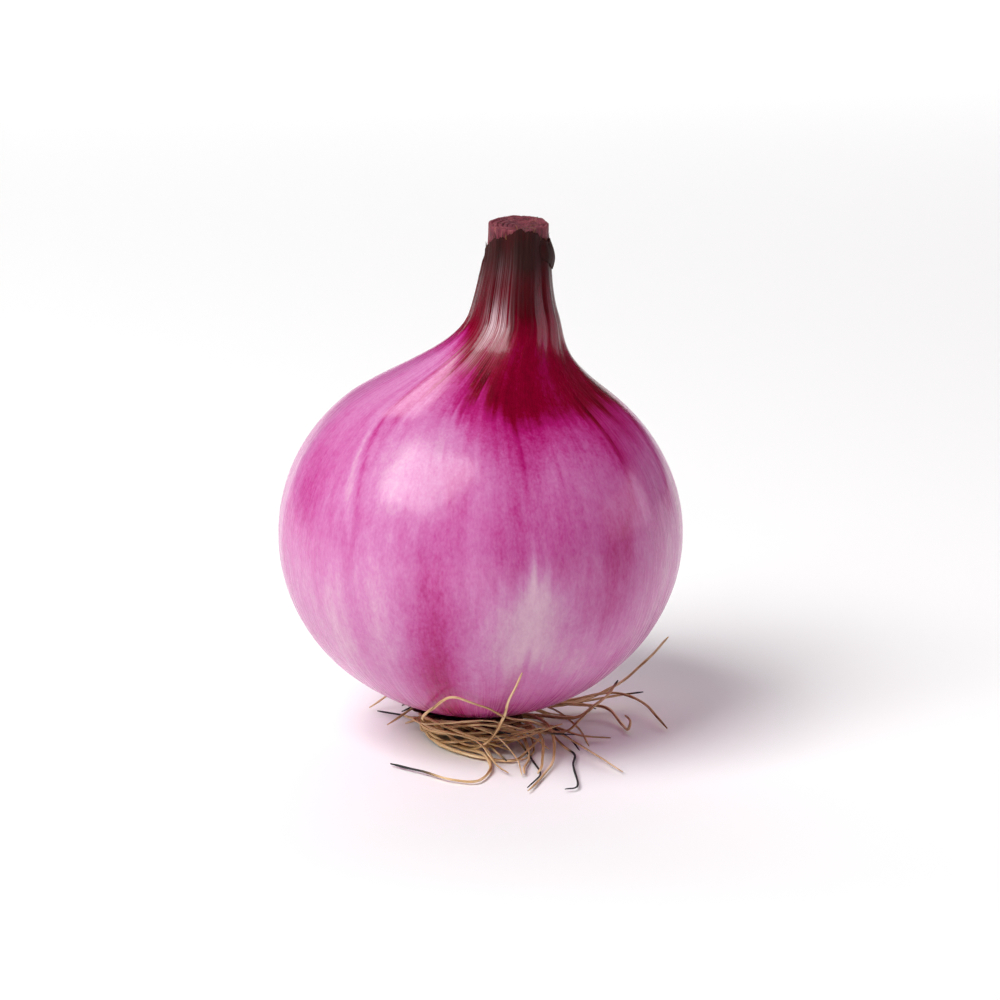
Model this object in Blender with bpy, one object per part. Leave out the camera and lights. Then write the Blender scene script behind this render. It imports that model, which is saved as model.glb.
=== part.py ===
"""Red onion: a round bulb drawn up into a cut neck, standing on its root plate and tuft of dry roots.

The origin is on the floor under the middle of the bulb, +Z is up and -Y is the front. Metres.
"""

import math
import random

import bmesh
import bpy
from mathutils import Vector, geometry

MM = 0.001

# The round body: half a flattened ball below its widest ring and half a slightly flatter one above.
BULB_DIAMETER = 80.3 * MM
WIDEST_HEIGHT = 41.0 * MM
BODY_DEPTH = 37.0 * MM
BODY_RISE = 35.8 * MM

# The neck: it leaves the shoulder in one sweep, leans to the right and is cut off flat, a little
# aslant, with the front of the cut lowest.
SHOULDER_DIAMETER = 48.8 * MM
NECK_DIAMETER = 14.1 * MM
NECK_HEIGHT = 92.4 * MM
SHOULDER_SWEEP = 14.6 * MM
NECK_SWEEP = 13.3 * MM
NECK_FLARE = 1.9 * MM
NECK_TAPER = 0.75 * MM
TOP_DIAMETER = 11.6 * MM
TOP_HEIGHT = 103.3 * MM
TOP_ROUNDING = 0.35 * MM
TOP_DISH = 0.6 * MM
CUT_FALL = 1.1 * MM
NECK_LEAN = 6.7 * MM
LEAN_STARTS = 67.5 * MM
LEAN_ENDS = 85.0 * MM
TOP_LEAN = 0.9 * MM

# The dry skin stops in a torn edge below the cut, highest at the front and lowest on the left, and
# stands out from the sheath inside it.
TORN_EDGE_DROP = 3.7 * MM
TORN_FRONT_RISE = 1.2 * MM
TORN_SIDE_DROP = 1.2 * MM
TORN_LEFT_DROP = 0.45 * MM
TORN_SLOPE = 0.12 * MM
SKIN_STEP = 0.45 * MM
FLAP_HEIGHT = 97.4 * MM
FLAP_REACH = 2.4 * MM
FLAP_BULGE = 0.9 * MM

# Shallow ribs on the body, deeper folds on the neck and the waves of the torn edge. Each wave runs
# round the axis and is given by its height, how many times it comes round, and where it starts.
BODY_RIBS = ((0.10 * MM, 9, 0.8), (0.08 * MM, 14, 2.1))
NECK_FOLDS = ((0.20 * MM, 6, 1.9), (0.14 * MM, 11, -0.6))
TORN_WAVES = ((0.30 * MM, 5, 0.5), (0.24 * MM, 9, 2.0))
RIBS_START = 12 * MM
FOLDS_START = 70 * MM
FOLDS_FULL = 88 * MM
FOLDS_AT_CUT = 0.4

# The root plate, and the gap that it keeps to the flat seat under the bulb.
SEAT_DIAMETER = 19.0 * MM
PLATE_DIAMETER = 18.0 * MM
PLATE_FOOT_DIAMETER = 15.0 * MM
PLATE_ROUNDING = 1.0 * MM
JOIN_GAP = 0.3 * MM

ROOT_DIAMETER = 0.9 * MM
ROOT_CLEARANCE = 1.25 * MM
ROOT_START_REACH = 5 * MM
ROOT_START_HEIGHT = 2.6 * MM
NEST_ROOTS = 11
BACK_BEARINGS = range(28, 160, 10)
SHORT_BEARINGS = range(6, 366, 24)
ROOT_SEED = 47

SKIN_COLOUR = (0.40, 0.07, 0.24)
ROOT_COLOUR = (0.45, 0.27, 0.11)

TURNS = 64
PLATE_TURNS = 26
BODY_RINGS = 20
SHOULDER_RINGS = 8
NECK_RINGS = 3
BEND_STEPS = 3
TINY = 0.001 * MM

BODY_RADIUS = BULB_DIAMETER / 2
TORN_HEIGHT = TOP_HEIGHT - TORN_EDGE_DROP
SEAT_HEIGHT = WIDEST_HEIGHT - BODY_DEPTH * math.sqrt(1 - (SEAT_DIAMETER / BULB_DIAMETER) ** 2)
PLATE_TOP = SEAT_HEIGHT - JOIN_GAP

# The roots seen from the front, each by the points it bends through, in millimetres.
FRONT_ROOTS = (
    # over the front of the bulb's foot, and straight up against it
    (
        (-13, -11, 5), (-11.5, -21, 10), (-6, -30.5, 16), (0, -29, 14),
        (5, -24.5, 10), (10, -15, 6), (13, -9, 3),
    ),
    ((-6, -10, 1.5), (-2, -17, 1), (2, -20, 4), (4.5, -24.5, 10), (5.5, -30.5, 15.5), (8, -36, 22.5)),
    # loops on the floor at the front left
    (
        (-11, -5, 2.5), (-9, -11, 1.5), (-4, -16, 1), (0.5, -20, 1),
        (1.5, -27, 0.7), (-2, -36, 0.7), (-17.5, -25, 0.7),
    ),
    (
        (-11, -4, 2), (-9.5, -11, 1), (-5, -17.5, 0.8), (1, -22, 0.7),
        (6.5, -23, 0.7), (9, -19, 1), (12, -13, 2),
    ),
    ((-12, -1, 2.5), (-6, -8, 3.5), (-1, -13, 3), (2, -17, 1.6), (5, -23.5, 0.8)),
    ((-8, -9, 3), (-6, -15, 5), (-1, -20, 7), (4, -19, 6.5), (9, -13, 3.5)),
    # stubs and a thin tip at the left
    ((-13, 1, 1.5), (-16, 5, 0.8), (-21, 7.5, 0.8)),
    ((-12, 5, 3), (-16, 5, 1.5)),
    ((-11, 7, 4), (-16, 6, 2.5)),
    ((-12, -3, 2.5), (-15, -4, 2)),
    # towards the front
    ((8, -3, 4), (13, -10, 4), (14.5, -18, 2.5), (13.5, -27, 0.8), (9, -41, 0.7)),
    ((4, -8, 4.5), (9, -11, 4.5), (12, -18, 3.5), (12, -26, 1.2), (11, -31, 0.7)),
    ((5, -9, 3), (8, -16, 1.5), (10, -22, 0.7), (11.5, -31, 0.7), (9, -39, 0.7)),
    ((8, -12, 2), (9.5, -20, 0.8), (8.5, -27, 0.7), (8.5, -31, 0.7)),
    # towards the front right
    ((-8, -8, 3.5), (-2, -12, 5.5), (4, -12, 5.5), (10, -11, 4.5), (17, -13, 2), (27.5, -30, 0.7)),
    ((12, -8, 3), (16.5, -16, 1), (18.5, -20, 0.7), (18, -26, 0.7), (18.5, -38, 0.7), (16, -40, 0.7)),
    ((13, -7, 2.5), (17.5, -10, 1), (19.5, -17, 0.7)),
    ((12, -9, 2), (17, -9, 2), (20, -9, 4.5), (21.5, -9, 6)),
    ((14, -6, 2), (20, -9, 1), (26, -9.5, 0.7)),
    # towards the back right
    ((12, -2, 3), (19, -2, 2.5), (23, 1, 4), (26, 5, 5), (28, 8, 7)),
    ((8, 3, 4), (15, 4, 3), (22, 9, 3), (29, 15, 4.5), (35, 22, 7.5), (39.5, 29, 10)),
    ((10, 3, 4), (19, 8, 3), (27, 11, 3.5), (33, 8, 2.5), (37.5, -4, 0.8)),
    ((12, 6, 3.5), (21, 10, 2), (28, 12, 2.5), (33.5, 13, 3)),
    ((14, 3, 3.5), (22, 6, 2.5), (26, 5, 2), (28.5, -1, 0.7), (29.5, -5, 1), (30, -4, 2.4), (29, -3, 3.3)),
)


def clear_the_scene():
    for item in list(bpy.data.objects):
        bpy.data.objects.remove(item)


def material(name, colour, roughness):
    made = bpy.data.materials.new(name)
    made.use_nodes = True
    shader = made.node_tree.nodes["Principled BSDF"]
    shader.inputs["Base Color"].default_value = (*colour, 1)
    shader.inputs["Roughness"].default_value = roughness
    shader.inputs["Metallic"].default_value = 0
    return made


def smooth_step(value):
    value = min(max(value, 0), 1)
    return value * value * (3 - 2 * value)


def body_outline():
    """The round body, from the edge of the flat seat to the shoulder, as (radius, height)."""
    lowest = -math.acos(SEAT_DIAMETER / BULB_DIAMETER)
    highest = math.acos(SHOULDER_DIAMETER / BULB_DIAMETER)
    points = []
    for step in range(BODY_RINGS + 1):
        angle = lowest + (highest - lowest) * step / BODY_RINGS
        reach = BODY_DEPTH if angle < 0 else BODY_RISE
        points.append((BODY_RADIUS * math.cos(angle), WIDEST_HEIGHT + reach * math.sin(angle)))
    return points


def shoulder_outline(start):
    """One sweep from the body's own slope at start to the almost upright neck."""
    angle = math.acos(SHOULDER_DIAMETER / BULB_DIAMETER)
    slope = Vector((-BODY_RADIUS * math.sin(angle), BODY_RISE * math.cos(angle))).normalized()
    knot_low = Vector(start)
    knot_high = Vector((NECK_DIAMETER / 2, NECK_HEIGHT))
    handle_low = knot_low + slope * SHOULDER_SWEEP
    handle_high = knot_high + Vector((NECK_FLARE, -NECK_SWEEP))
    sweep = geometry.interpolate_bezier(knot_low, handle_low, handle_high, knot_high, SHOULDER_RINGS + 1)
    return [(point.x, point.y) for point in sweep[1:]]


def neck_outline():
    """The neck to its torn skin edge, the sheath that shows above it, and the dished cut."""
    edge_radius = NECK_DIAMETER / 2 - NECK_TAPER
    top_radius = TOP_DIAMETER / 2
    points = []
    for step in range(1, NECK_RINGS + 1):
        # the rings end well below the lowest point of the torn edge
        along = 0.6 * step / NECK_RINGS
        radius = edge_radius + NECK_TAPER * (1 - along) ** 1.6
        points.append((radius, NECK_HEIGHT + (TORN_HEIGHT - NECK_HEIGHT) * along))
    return points + [
        (edge_radius, TORN_HEIGHT - TORN_SLOPE),
        (edge_radius - SKIN_STEP, TORN_HEIGHT + TORN_SLOPE),
        (top_radius, TOP_HEIGHT - TOP_ROUNDING),
        (top_radius - TOP_ROUNDING, TOP_HEIGHT),
        (0.7 * top_radius, TOP_HEIGHT - 0.6 * TOP_DISH),
        (0, TOP_HEIGHT - TOP_DISH),
    ]


def axis_lean(height):
    """How far the middle of a ring at this height lies to the right of the body's middle."""
    lean = NECK_LEAN * smooth_step((height - LEAN_STARTS) / (LEAN_ENDS - LEAN_STARTS))
    return lean + TOP_LEAN * smooth_step((height - LEAN_ENDS) / (TOP_HEIGHT - LEAN_ENDS))


def waves(pattern, angle):
    return sum(height * math.cos(count * angle + start) for height, count, start in pattern)


def rib_relief(angle, height):
    """Shallow lengthwise ribs on the body, which gather into deeper folds on the neck."""
    on_neck = smooth_step((height - FOLDS_START) / (FOLDS_FULL - FOLDS_START))
    from_foot = smooth_step((height - SEAT_HEIGHT) / RIBS_START)
    from_cut = FOLDS_AT_CUT + (1 - FOLDS_AT_CUT) * smooth_step((TOP_HEIGHT - height) / TOP_ROUNDING)
    ribs = waves(BODY_RIBS, angle) * from_foot * (1 - on_neck)
    return ribs + waves(NECK_FOLDS, angle) * on_neck * from_cut


def torn_edge_shift(angle):
    """How far the torn edge of the dry skin rises or falls at this bearing."""
    rise = -TORN_FRONT_RISE * math.sin(angle) + TORN_LEFT_DROP * math.cos(angle)
    return rise - TORN_SIDE_DROP * math.cos(2 * angle) + waves(TORN_WAVES, angle)


def cut_shift(y):
    """How far the slanting cut lies below its back rim at this distance from the axis."""
    return CUT_FALL / 2 * (y / (TOP_DIAMETER / 2 - TOP_ROUNDING) - 1)


def flap_relief(angle, height):
    """The loose flap of dry skin on the right of the neck."""
    across = max(math.cos(angle + 0.15), 0)
    along = (height - FLAP_HEIGHT) / FLAP_REACH
    return FLAP_BULGE * across ** 8 * math.exp(-along * along)


def make_bulb():
    outline = [(0, SEAT_HEIGHT)] + body_outline()
    outline += shoulder_outline(outline[-1]) + neck_outline()

    mesh = bmesh.new()
    points = [mesh.verts.new((radius, 0, height)) for radius, height in outline]
    edges = [mesh.edges.new(pair) for pair in zip(points, points[1:])]
    bmesh.ops.spin(
        mesh, geom=points + edges, cent=(0, 0, 0), axis=(0, 0, 1),
        angle=math.tau, steps=TURNS, use_duplicate=False,
    )
    bmesh.ops.remove_doubles(mesh, verts=mesh.verts, dist=TINY)

    for vertex in mesh.verts:
        radius = math.hypot(vertex.co.x, vertex.co.y)
        height = vertex.co.z
        if radius > TINY and height > SEAT_HEIGHT + TINY:
            angle = math.atan2(vertex.co.y, vertex.co.x)
            fuller = (radius + rib_relief(angle, height) + flap_relief(angle, height)) / radius
            vertex.co.x *= fuller
            vertex.co.y *= fuller
            if abs(height - TORN_HEIGHT) < 2 * TORN_SLOPE:
                vertex.co.z += torn_edge_shift(angle)
        if height > TOP_HEIGHT - 2 * TOP_DISH:
            vertex.co.z += cut_shift(vertex.co.y)
        vertex.co.x += axis_lean(height)

    bmesh.ops.recalc_face_normals(mesh, faces=mesh.faces)
    made = bpy.data.meshes.new("bulb")
    mesh.to_mesh(made)
    mesh.free()
    made.shade_smooth()
    made.set_sharp_from_angle(angle=math.radians(40))
    bulb = bpy.data.objects.new("bulb", made)
    bulb.data.materials.append(material("red_skin", SKIN_COLOUR, 0.3))
    bpy.context.collection.objects.link(bulb)
    return bulb


def make_root_plate():
    """The woody plate: a squat round pad, flat below where it stands."""
    radius = PLATE_DIAMETER / 2
    outline = [
        (0, PLATE_TOP),
        (radius - PLATE_ROUNDING, PLATE_TOP),
        (radius - 0.3 * PLATE_ROUNDING, PLATE_TOP - 0.6 * PLATE_ROUNDING),
        (radius, PLATE_TOP * 0.55),
        (radius - 0.5 * PLATE_ROUNDING, PLATE_TOP * 0.2),
        (PLATE_FOOT_DIAMETER / 2, 0),
        (0, 0),
    ]
    mesh = bmesh.new()
    points = [mesh.verts.new((radius, 0, height)) for radius, height in outline]
    edges = [mesh.edges.new(pair) for pair in zip(points, points[1:])]
    bmesh.ops.spin(
        mesh, geom=points + edges, cent=(0, 0, 0), axis=(0, 0, 1),
        angle=math.tau, steps=PLATE_TURNS, use_duplicate=False,
    )
    bmesh.ops.remove_doubles(mesh, verts=mesh.verts, dist=TINY)
    bmesh.ops.recalc_face_normals(mesh, faces=mesh.faces)
    made = bpy.data.meshes.new("root_tuft")
    mesh.to_mesh(made)
    mesh.free()
    plate = bpy.data.objects.new("root_tuft", made)
    plate.data.materials.append(material("dry_root", ROOT_COLOUR, 0.8))
    bpy.context.collection.objects.link(plate)
    return plate


def kept_clear(point):
    """The point moved out of the bulb's way and no lower than a root lying on the floor."""
    middle = Vector((0, 0, WIDEST_HEIGHT))
    arm = point - middle
    side = BODY_RADIUS + ROOT_CLEARANCE
    reach = BODY_DEPTH + ROOT_CLEARANCE
    depth = math.sqrt((arm.x / side) ** 2 + (arm.y / side) ** 2 + (arm.z / reach) ** 2)
    if depth < 1:
        point = middle + arm / depth
    point.z = max(point.z, 0.6 * ROOT_DIAMETER)
    return point


def bent_path(bends):
    """A smooth path from inside the root plate through the bends, given in millimetres."""
    first = Vector(bends[0])
    inside = Vector((first.x, first.y, 0)).normalized() * ROOT_START_REACH
    inside.z = ROOT_START_HEIGHT
    knots = [inside] + [Vector(bend) * MM for bend in bends]
    knots = [2 * knots[0] - knots[1]] + knots + [2 * knots[-1] - knots[-2]]
    path = []
    for before, start, end, after in zip(knots, knots[1:], knots[2:], knots[3:]):
        for step in range(BEND_STEPS):
            along = step / BEND_STEPS
            point = 2 * start + (end - before) * along
            point += (2 * before - 5 * start + 4 * end - after) * along ** 2
            point += (3 * start - before - 3 * end + after) * along ** 3
            path.append(kept_clear(point * 0.5))
    path.append(kept_clear(knots[-2]))
    return path


def polar(bearing, reach, height):
    angle = math.radians(bearing)
    return (reach * math.cos(angle), reach * math.sin(angle), height)


def nest_bends(draw):
    """A root that leaves the plate at the left and sweeps round its front, close in."""
    bearing = draw.uniform(170, 215)
    reach = draw.uniform(10, 13)
    bends = [polar(bearing, reach, draw.uniform(2, 4))]
    for _ in range(draw.choice((2, 3, 3))):
        bearing += draw.uniform(28, 44)
        reach += draw.uniform(0.5, 4.5)
        bends.append(polar(bearing, reach, draw.uniform(0.8, 6)))
    return bends


def back_bends(draw, bearing):
    """A root that runs out behind and wanders to one side."""
    swing = draw.choice((-1, 1)) * draw.uniform(8, 26)
    reach = draw.uniform(10, 13)
    bends = [polar(bearing, reach, draw.uniform(2, 4))]
    for _ in range(draw.choice((1, 2, 3))):
        bearing += swing
        reach += draw.uniform(3.5, 7.5)
        bends.append(polar(bearing, reach, draw.choice((0.7, 0.7, draw.uniform(1, 5)))))
    return bends


def short_bends(draw, bearing):
    """A short root that stops where it meets the floor near the plate."""
    reach = draw.uniform(10.5, 14.5)
    return [polar(bearing + draw.uniform(-12, 12), reach, draw.uniform(0.7, 3))]


def make_root(name, path):
    """A slim four-sided tube along the path, thinner towards its tip."""
    curve = bpy.data.curves.new(name, "CURVE")
    curve.dimensions = "3D"
    curve.bevel_depth = ROOT_DIAMETER / 2
    curve.bevel_resolution = 0
    curve.use_fill_caps = True
    spline = curve.splines.new("POLY")
    spline.points.add(len(path) - 1)
    for index, (point, place) in enumerate(zip(spline.points, path)):
        point.co = (*place, 1)
        point.radius = 1.1 - 0.4 * index / len(path)
    line = bpy.data.objects.new(name, curve)
    root = bpy.data.objects.new(name, bpy.data.meshes.new_from_object(line))
    bpy.data.objects.remove(line)
    mesh = bmesh.new()
    mesh.from_mesh(root.data)
    bmesh.ops.remove_doubles(mesh, verts=mesh.verts, dist=TINY)
    mesh.to_mesh(root.data)
    mesh.free()
    return root


def make_root_tuft():
    draw = random.Random(ROOT_SEED)
    paths = [bent_path(bends) for bends in FRONT_ROOTS]
    paths += [bent_path(nest_bends(draw)) for _ in range(NEST_ROOTS)]
    paths += [bent_path(back_bends(draw, bearing)) for bearing in BACK_BEARINGS]
    paths += [bent_path(short_bends(draw, bearing)) for bearing in SHORT_BEARINGS]

    plate = make_root_plate()
    roots = bpy.data.collections.new("roots")
    bpy.context.scene.collection.children.link(roots)
    for index, path in enumerate(paths):
        roots.objects.link(make_root(f"root_{index}", path))

    union = plate.modifiers.new("join_roots", "BOOLEAN")
    union.operation = "UNION"
    union.operand_type = "COLLECTION"
    union.collection = roots
    union.solver = "MANIFOLD"
    bpy.context.view_layer.update()
    joined = bpy.data.meshes.new_from_object(plate.evaluated_get(bpy.context.evaluated_depsgraph_get()))
    plate.modifiers.remove(union)
    plate.data = joined
    for root in list(roots.objects):
        bpy.data.objects.remove(root)
    bpy.data.collections.remove(roots)
    return plate


clear_the_scene()
make_bulb()
make_root_tuft()
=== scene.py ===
"""Dresses the red onion: glossy streaked skin, fibrous cut neck, woody root plate and dry roots. Metres."""

import math
import random

import bmesh
import bpy
from mathutils import Matrix, Vector, geometry, noise


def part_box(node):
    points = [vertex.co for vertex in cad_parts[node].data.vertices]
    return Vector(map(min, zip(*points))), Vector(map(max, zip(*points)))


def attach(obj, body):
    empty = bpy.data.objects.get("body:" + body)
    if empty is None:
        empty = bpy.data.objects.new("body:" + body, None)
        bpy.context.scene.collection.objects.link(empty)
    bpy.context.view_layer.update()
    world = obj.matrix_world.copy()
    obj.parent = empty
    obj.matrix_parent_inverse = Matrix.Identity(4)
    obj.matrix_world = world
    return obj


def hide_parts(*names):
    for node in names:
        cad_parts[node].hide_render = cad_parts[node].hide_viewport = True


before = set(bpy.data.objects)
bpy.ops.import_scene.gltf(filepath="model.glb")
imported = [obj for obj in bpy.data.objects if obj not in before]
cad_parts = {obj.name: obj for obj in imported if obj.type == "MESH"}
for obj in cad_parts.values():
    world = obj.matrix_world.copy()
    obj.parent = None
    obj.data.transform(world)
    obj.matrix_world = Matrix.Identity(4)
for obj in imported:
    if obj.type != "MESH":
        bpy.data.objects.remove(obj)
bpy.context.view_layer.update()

# Bulb skin.
# The dry outer skin of the bulb, one closed form from the seat of the root plate up to its torn edge
# just under the cut of the neck. Lengthwise ribs run up the body and gather into folds on the neck.
MM = 0.001
bulb_low, bulb_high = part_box("bulb")
CUT_HEIGHT = bulb_high.z
SEAT_HEIGHT = bulb_low.z
SEAT_MIDDLE_RADIUS = 5.7 * MM
BODY_RADIUS = 40.15 * MM
WIDEST_HEIGHT = 41.0 * MM
BODY_DEPTH = 37.0 * MM
BODY_RISE = 35.8 * MM
SEAT_RADIUS = 9.5 * MM
SHOULDER_RADIUS = 24.4 * MM
SHOULDER_SWEEP = 14.6 * MM
NECK_RADIUS = 7.05 * MM
NECK_HEIGHT = 92.4 * MM
NECK_SWEEP = 13.3 * MM
NECK_FLARE = 1.9 * MM
NECK_TAPER = 1.6
NECK_LEAN = 6.7 * MM
LEAN_STARTS = 67.5 * MM
LEAN_ENDS = 85.0 * MM
TOP_LEAN = 0.9 * MM
EDGE_RADIUS = 6.3 * MM
EDGE_HEIGHT = CUT_HEIGHT - 3.7 * MM
SKIN_TURNS = 340
BODY_RINGS = 130
SHOULDER_RINGS = 60
NECK_RINGS = 56
TINY = 0.001 * MM

# The torn edge in section, from its outside over the top and down inside it: how far each point lies in
# from the outside and how far above the edge's height, in millimetres.
EDGE_SECTION = ((0.14, 0.1), (0.36, 0.02), (0.5, -0.5), (0.9, -4))
EDGE_INNER_DEPTH = 4.2 * MM
EDGE_SHIFTS_FROM = EDGE_HEIGHT - 5.2 * MM
EDGE_SHIFTS_FULLY = EDGE_HEIGHT - 0.6 * MM

# Waves of relief that run round the axis, each with its height in millimetres, how often it comes round,
# how far it turns for each millimetre of height, and where it starts.
RIB_WAVES = ((0.10, 9, 0, 0.8), (0.08, 14, 0, 2.1))
FOLD_WAVES = ((0.20, 6, 0, 1.9), (0.14, 11, 0, -0.6))
CREASE_WAVES = ((0.04, 19, 0.05, 0), (0.025, 31, -0.07, 1))
GATHER_WAVES = ((0.03, 15, 0, 2.4),)
RIB_SETBACK = 0.04
RIBS_GROW_OVER = 12.0 * MM
FOLDS_FROM = 70.0 * MM
FOLDS_FULL = 88.0 * MM
GATHER_HEIGHT = 80.0 * MM
GATHER_SPREAD = 9.0 * MM
EDGE_WAVES = ((1.2, 1, 0, math.pi / 2), (-1.2, 2, 0, 0), (0.45, 1, 0, 0), (0.3, 5, 0, 0.5), (0.24, 9, 0, 2))


def smooth_step(value):
    value = min(max(value, 0), 1)
    return value * value * (3 - 2 * value)


def axis_lean(height):
    """How far the middle of a ring at this height lies to the right of the body's middle."""
    lean = NECK_LEAN * smooth_step((height - LEAN_STARTS) / (LEAN_ENDS - LEAN_STARTS))
    return lean + TOP_LEAN * smooth_step((height - LEAN_ENDS) / (CUT_HEIGHT - LEAN_ENDS))


def neck_radius(along):
    """The neck narrows from its foot, 0, to the torn edge, 1."""
    return EDGE_RADIUS + (NECK_RADIUS - EDGE_RADIUS) * max(1 - along, 0) ** NECK_TAPER


def waves(kinds, angle, drift=0):
    """The sum of some waves at this angle, in millimetres, with the drift in millimetres of height."""
    total = 0
    for height, times, slant, start in kinds:
        total += height * math.cos(times * angle + slant * drift + start)
    return total


def torn_edge_shift(angle):
    """The torn edge stands highest at the front and lowest on the left."""
    return waves(EDGE_WAVES, angle) * MM


def ragged(angle, height):
    """Fine teeth along the torn edge."""
    place = Vector((math.cos(angle) * 7, math.sin(angle) * 7, height * 40))
    coarse = noise.noise(place)
    fine = noise.noise(place * 3.1)
    return (0.55 * coarse + 0.3 * fine) * MM


def skin_outline():
    """The skin's half outline: seat, body, shoulder, neck, torn edge, and down inside it to the axis."""
    lowest = -math.acos(SEAT_RADIUS / BODY_RADIUS)
    highest = math.acos(SHOULDER_RADIUS / BODY_RADIUS)
    points = [(0, SEAT_HEIGHT), (SEAT_MIDDLE_RADIUS, SEAT_HEIGHT)]
    for step in range(BODY_RINGS + 1):
        angle = lowest + (highest - lowest) * step / BODY_RINGS
        reach = BODY_DEPTH if angle < 0 else BODY_RISE
        points.append((BODY_RADIUS * math.cos(angle), WIDEST_HEIGHT + reach * math.sin(angle)))

    slope = Vector((-BODY_RADIUS * math.sin(highest), BODY_RISE * math.cos(highest))).normalized()
    low = Vector(points[-1])
    high = Vector((NECK_RADIUS, NECK_HEIGHT))
    leaving = low + slope * SHOULDER_SWEEP
    arriving = high + Vector((NECK_FLARE, -NECK_SWEEP))
    sweep = geometry.interpolate_bezier(low, leaving, arriving, high, SHOULDER_RINGS + 1)
    points += [(point.x, point.y) for point in sweep[1:]]
    for step in range(1, NECK_RINGS + 1):
        along = step / NECK_RINGS
        points.append((neck_radius(along), NECK_HEIGHT + (EDGE_HEIGHT - NECK_HEIGHT) * along))
    points += [(EDGE_RADIUS - inwards * MM, EDGE_HEIGHT + rise * MM) for inwards, rise in EDGE_SECTION]
    points.append((0, EDGE_HEIGHT - EDGE_INNER_DEPTH))
    return points


def skin_relief(angle, height):
    """How far the surface stands out: ribs on the body, folds and fine creases on the neck."""
    on_neck = smooth_step((height - FOLDS_FROM) / (FOLDS_FULL - FOLDS_FROM))
    from_foot = smooth_step((height - SEAT_HEIGHT) / RIBS_GROW_OVER)
    drift = height / MM
    around_body = Vector((math.cos(angle) * 7, math.sin(angle) * 7, drift * 0.07))
    ribs = waves(RIB_WAVES, angle) - RIB_SETBACK
    ribs += 0.05 * noise.noise(around_body) + 0.02 * noise.noise(around_body * 3)
    around_neck = Vector((math.cos(angle) * 6, math.sin(angle) * 6, drift * 0.06))
    crumple = 0.11 * noise.noise(around_neck) + 0.06 * noise.noise(around_neck * 2.7)
    neck = waves(FOLD_WAVES, angle) + waves(CREASE_WAVES, angle, drift) + crumple
    # the gathered skin folds most where the shoulder turns up into the neck
    gather = math.exp(-(((height - GATHER_HEIGHT) / GATHER_SPREAD) ** 2)) * waves(GATHER_WAVES, angle)
    return (ribs * (1 - on_neck) * from_foot + neck * on_neck + gather) * MM


# Colour bands on the skin, each from a bearing and height above to a bearing and height below, with its
# half width in degrees and how much deeper (or, below zero, paler) the red is there; a few of the pale
# ones are painted highlight. Bearings count from the front, positive towards the right; heights are in
# millimetres.
FRONT_BANDS = (
    (-48, 75, -37, 52, 1.2, 0.16),
    (-51, 72, -40, 50, 1.3, -0.13),
    (-69, 66, -59, 45, 6.5, 0.13),
    (-46, 60, -37, 38, 3.5, 0.03),
    (-13, 54, -15, 40, 4.0, 0.03),
    (-16, 42, -15, 10, 8.5, 0.15),
    (-4, 66, -6, 48, 3.0, 0.07),
    (10, 60, 17, 45, 11.0, 0.10),
    (30, 60, 34, 42, 6.0, 0.06),
    (47, 50, 30, 27, 8.0, 0.08),
    (56, 63, 50, 50, 2.0, 0.09),
    (86, 70, 67, 47, 3.0, 0.20),
    (-31, 46, -27, 20, 7.0, -0.14),
    (-60, 42, -50, 16, 5.0, -0.05),
    (17, 38, 14, 24, 9.5, -0.18),
    (12, 37, 9, 20, 12.0, -0.12),
    (12, 98, 11, 85, 15.0, 0.07),
    (24, 27, 42, 17, 12.0, -0.13),
    (74, 58, 62, 26, 4.5, -0.13),
    (-30, 66, -26, 54, 9.0, -0.09),
    # a thin pale line: painted highlight on a rib near the left rim
    (-79, 60, -74, 30, 3.0, -0.10),
    (82, 60, 76, 30, 4.0, -0.14),
    (26, 66, 24, 58, 3.0, -0.09),
    (-9, 76, -8, 70, 7.0, 0.13),
    (-36, 73, -32, 68, 9.0, 0.06),
    (-66, 40, -58, 24, 8.0, -0.06),
    (4, 73, 6, 60, 8.0, 0.06),
    (76, 72, 69, 62, 6.0, 0.08),
    (-15, 26, -14, 8, 7.0, 0.12),
    # paler here is painted highlight, above the body's highlight
    (-13, 70, -12, 63, 8.0, -0.14),
    (-43, 42, -46, 20, 6.0, -0.15),
    (-44, 75, -42, 69, 7.0, 0.06),
    (56, 66, 42, 44, 8.0, 0.13),
    (4, 52, 4, 40, 7.0, 0.06),
    (0, 40, -1, 32, 5.0, 0.06),
    (15, 42, 14, 35, 7.5, -0.13),
    (30, 31, 48, 23, 9.0, -0.09),
    (50, 34, 54, 22, 8.0, -0.08),
    # paler here is painted highlight, at the left edge of the body's highlight
    (-42, 64, -40, 50, 6.0, -0.09),
    (-27, 24, -25, 13, 4.0, 0.08),
    (-38, 26, -36, 14, 6.0, -0.08),
)
BASE_FLUSH = 0.37
CRIMSON_EDGE = 75.8


def back_bands(draw):
    """Bands like the front's for the side that faces away, drawn by chance."""
    bands = []
    for bearing in range(92, 276, 9):
        start = bearing + draw.uniform(-4, 4)
        width = draw.choice((2.2, 3.5, 6, 8))
        depth = draw.choice((0.2, 0.14, 0.1, -0.12, -0.16))
        top = draw.uniform(48, 68)
        end = start + draw.uniform(-7, 7)
        low = draw.uniform(14, 38)
        bands.append((start, top, end, low, width, depth))
    return bands


SKIN_BANDS = FRONT_BANDS + tuple(back_bands(random.Random(8)))


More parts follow.
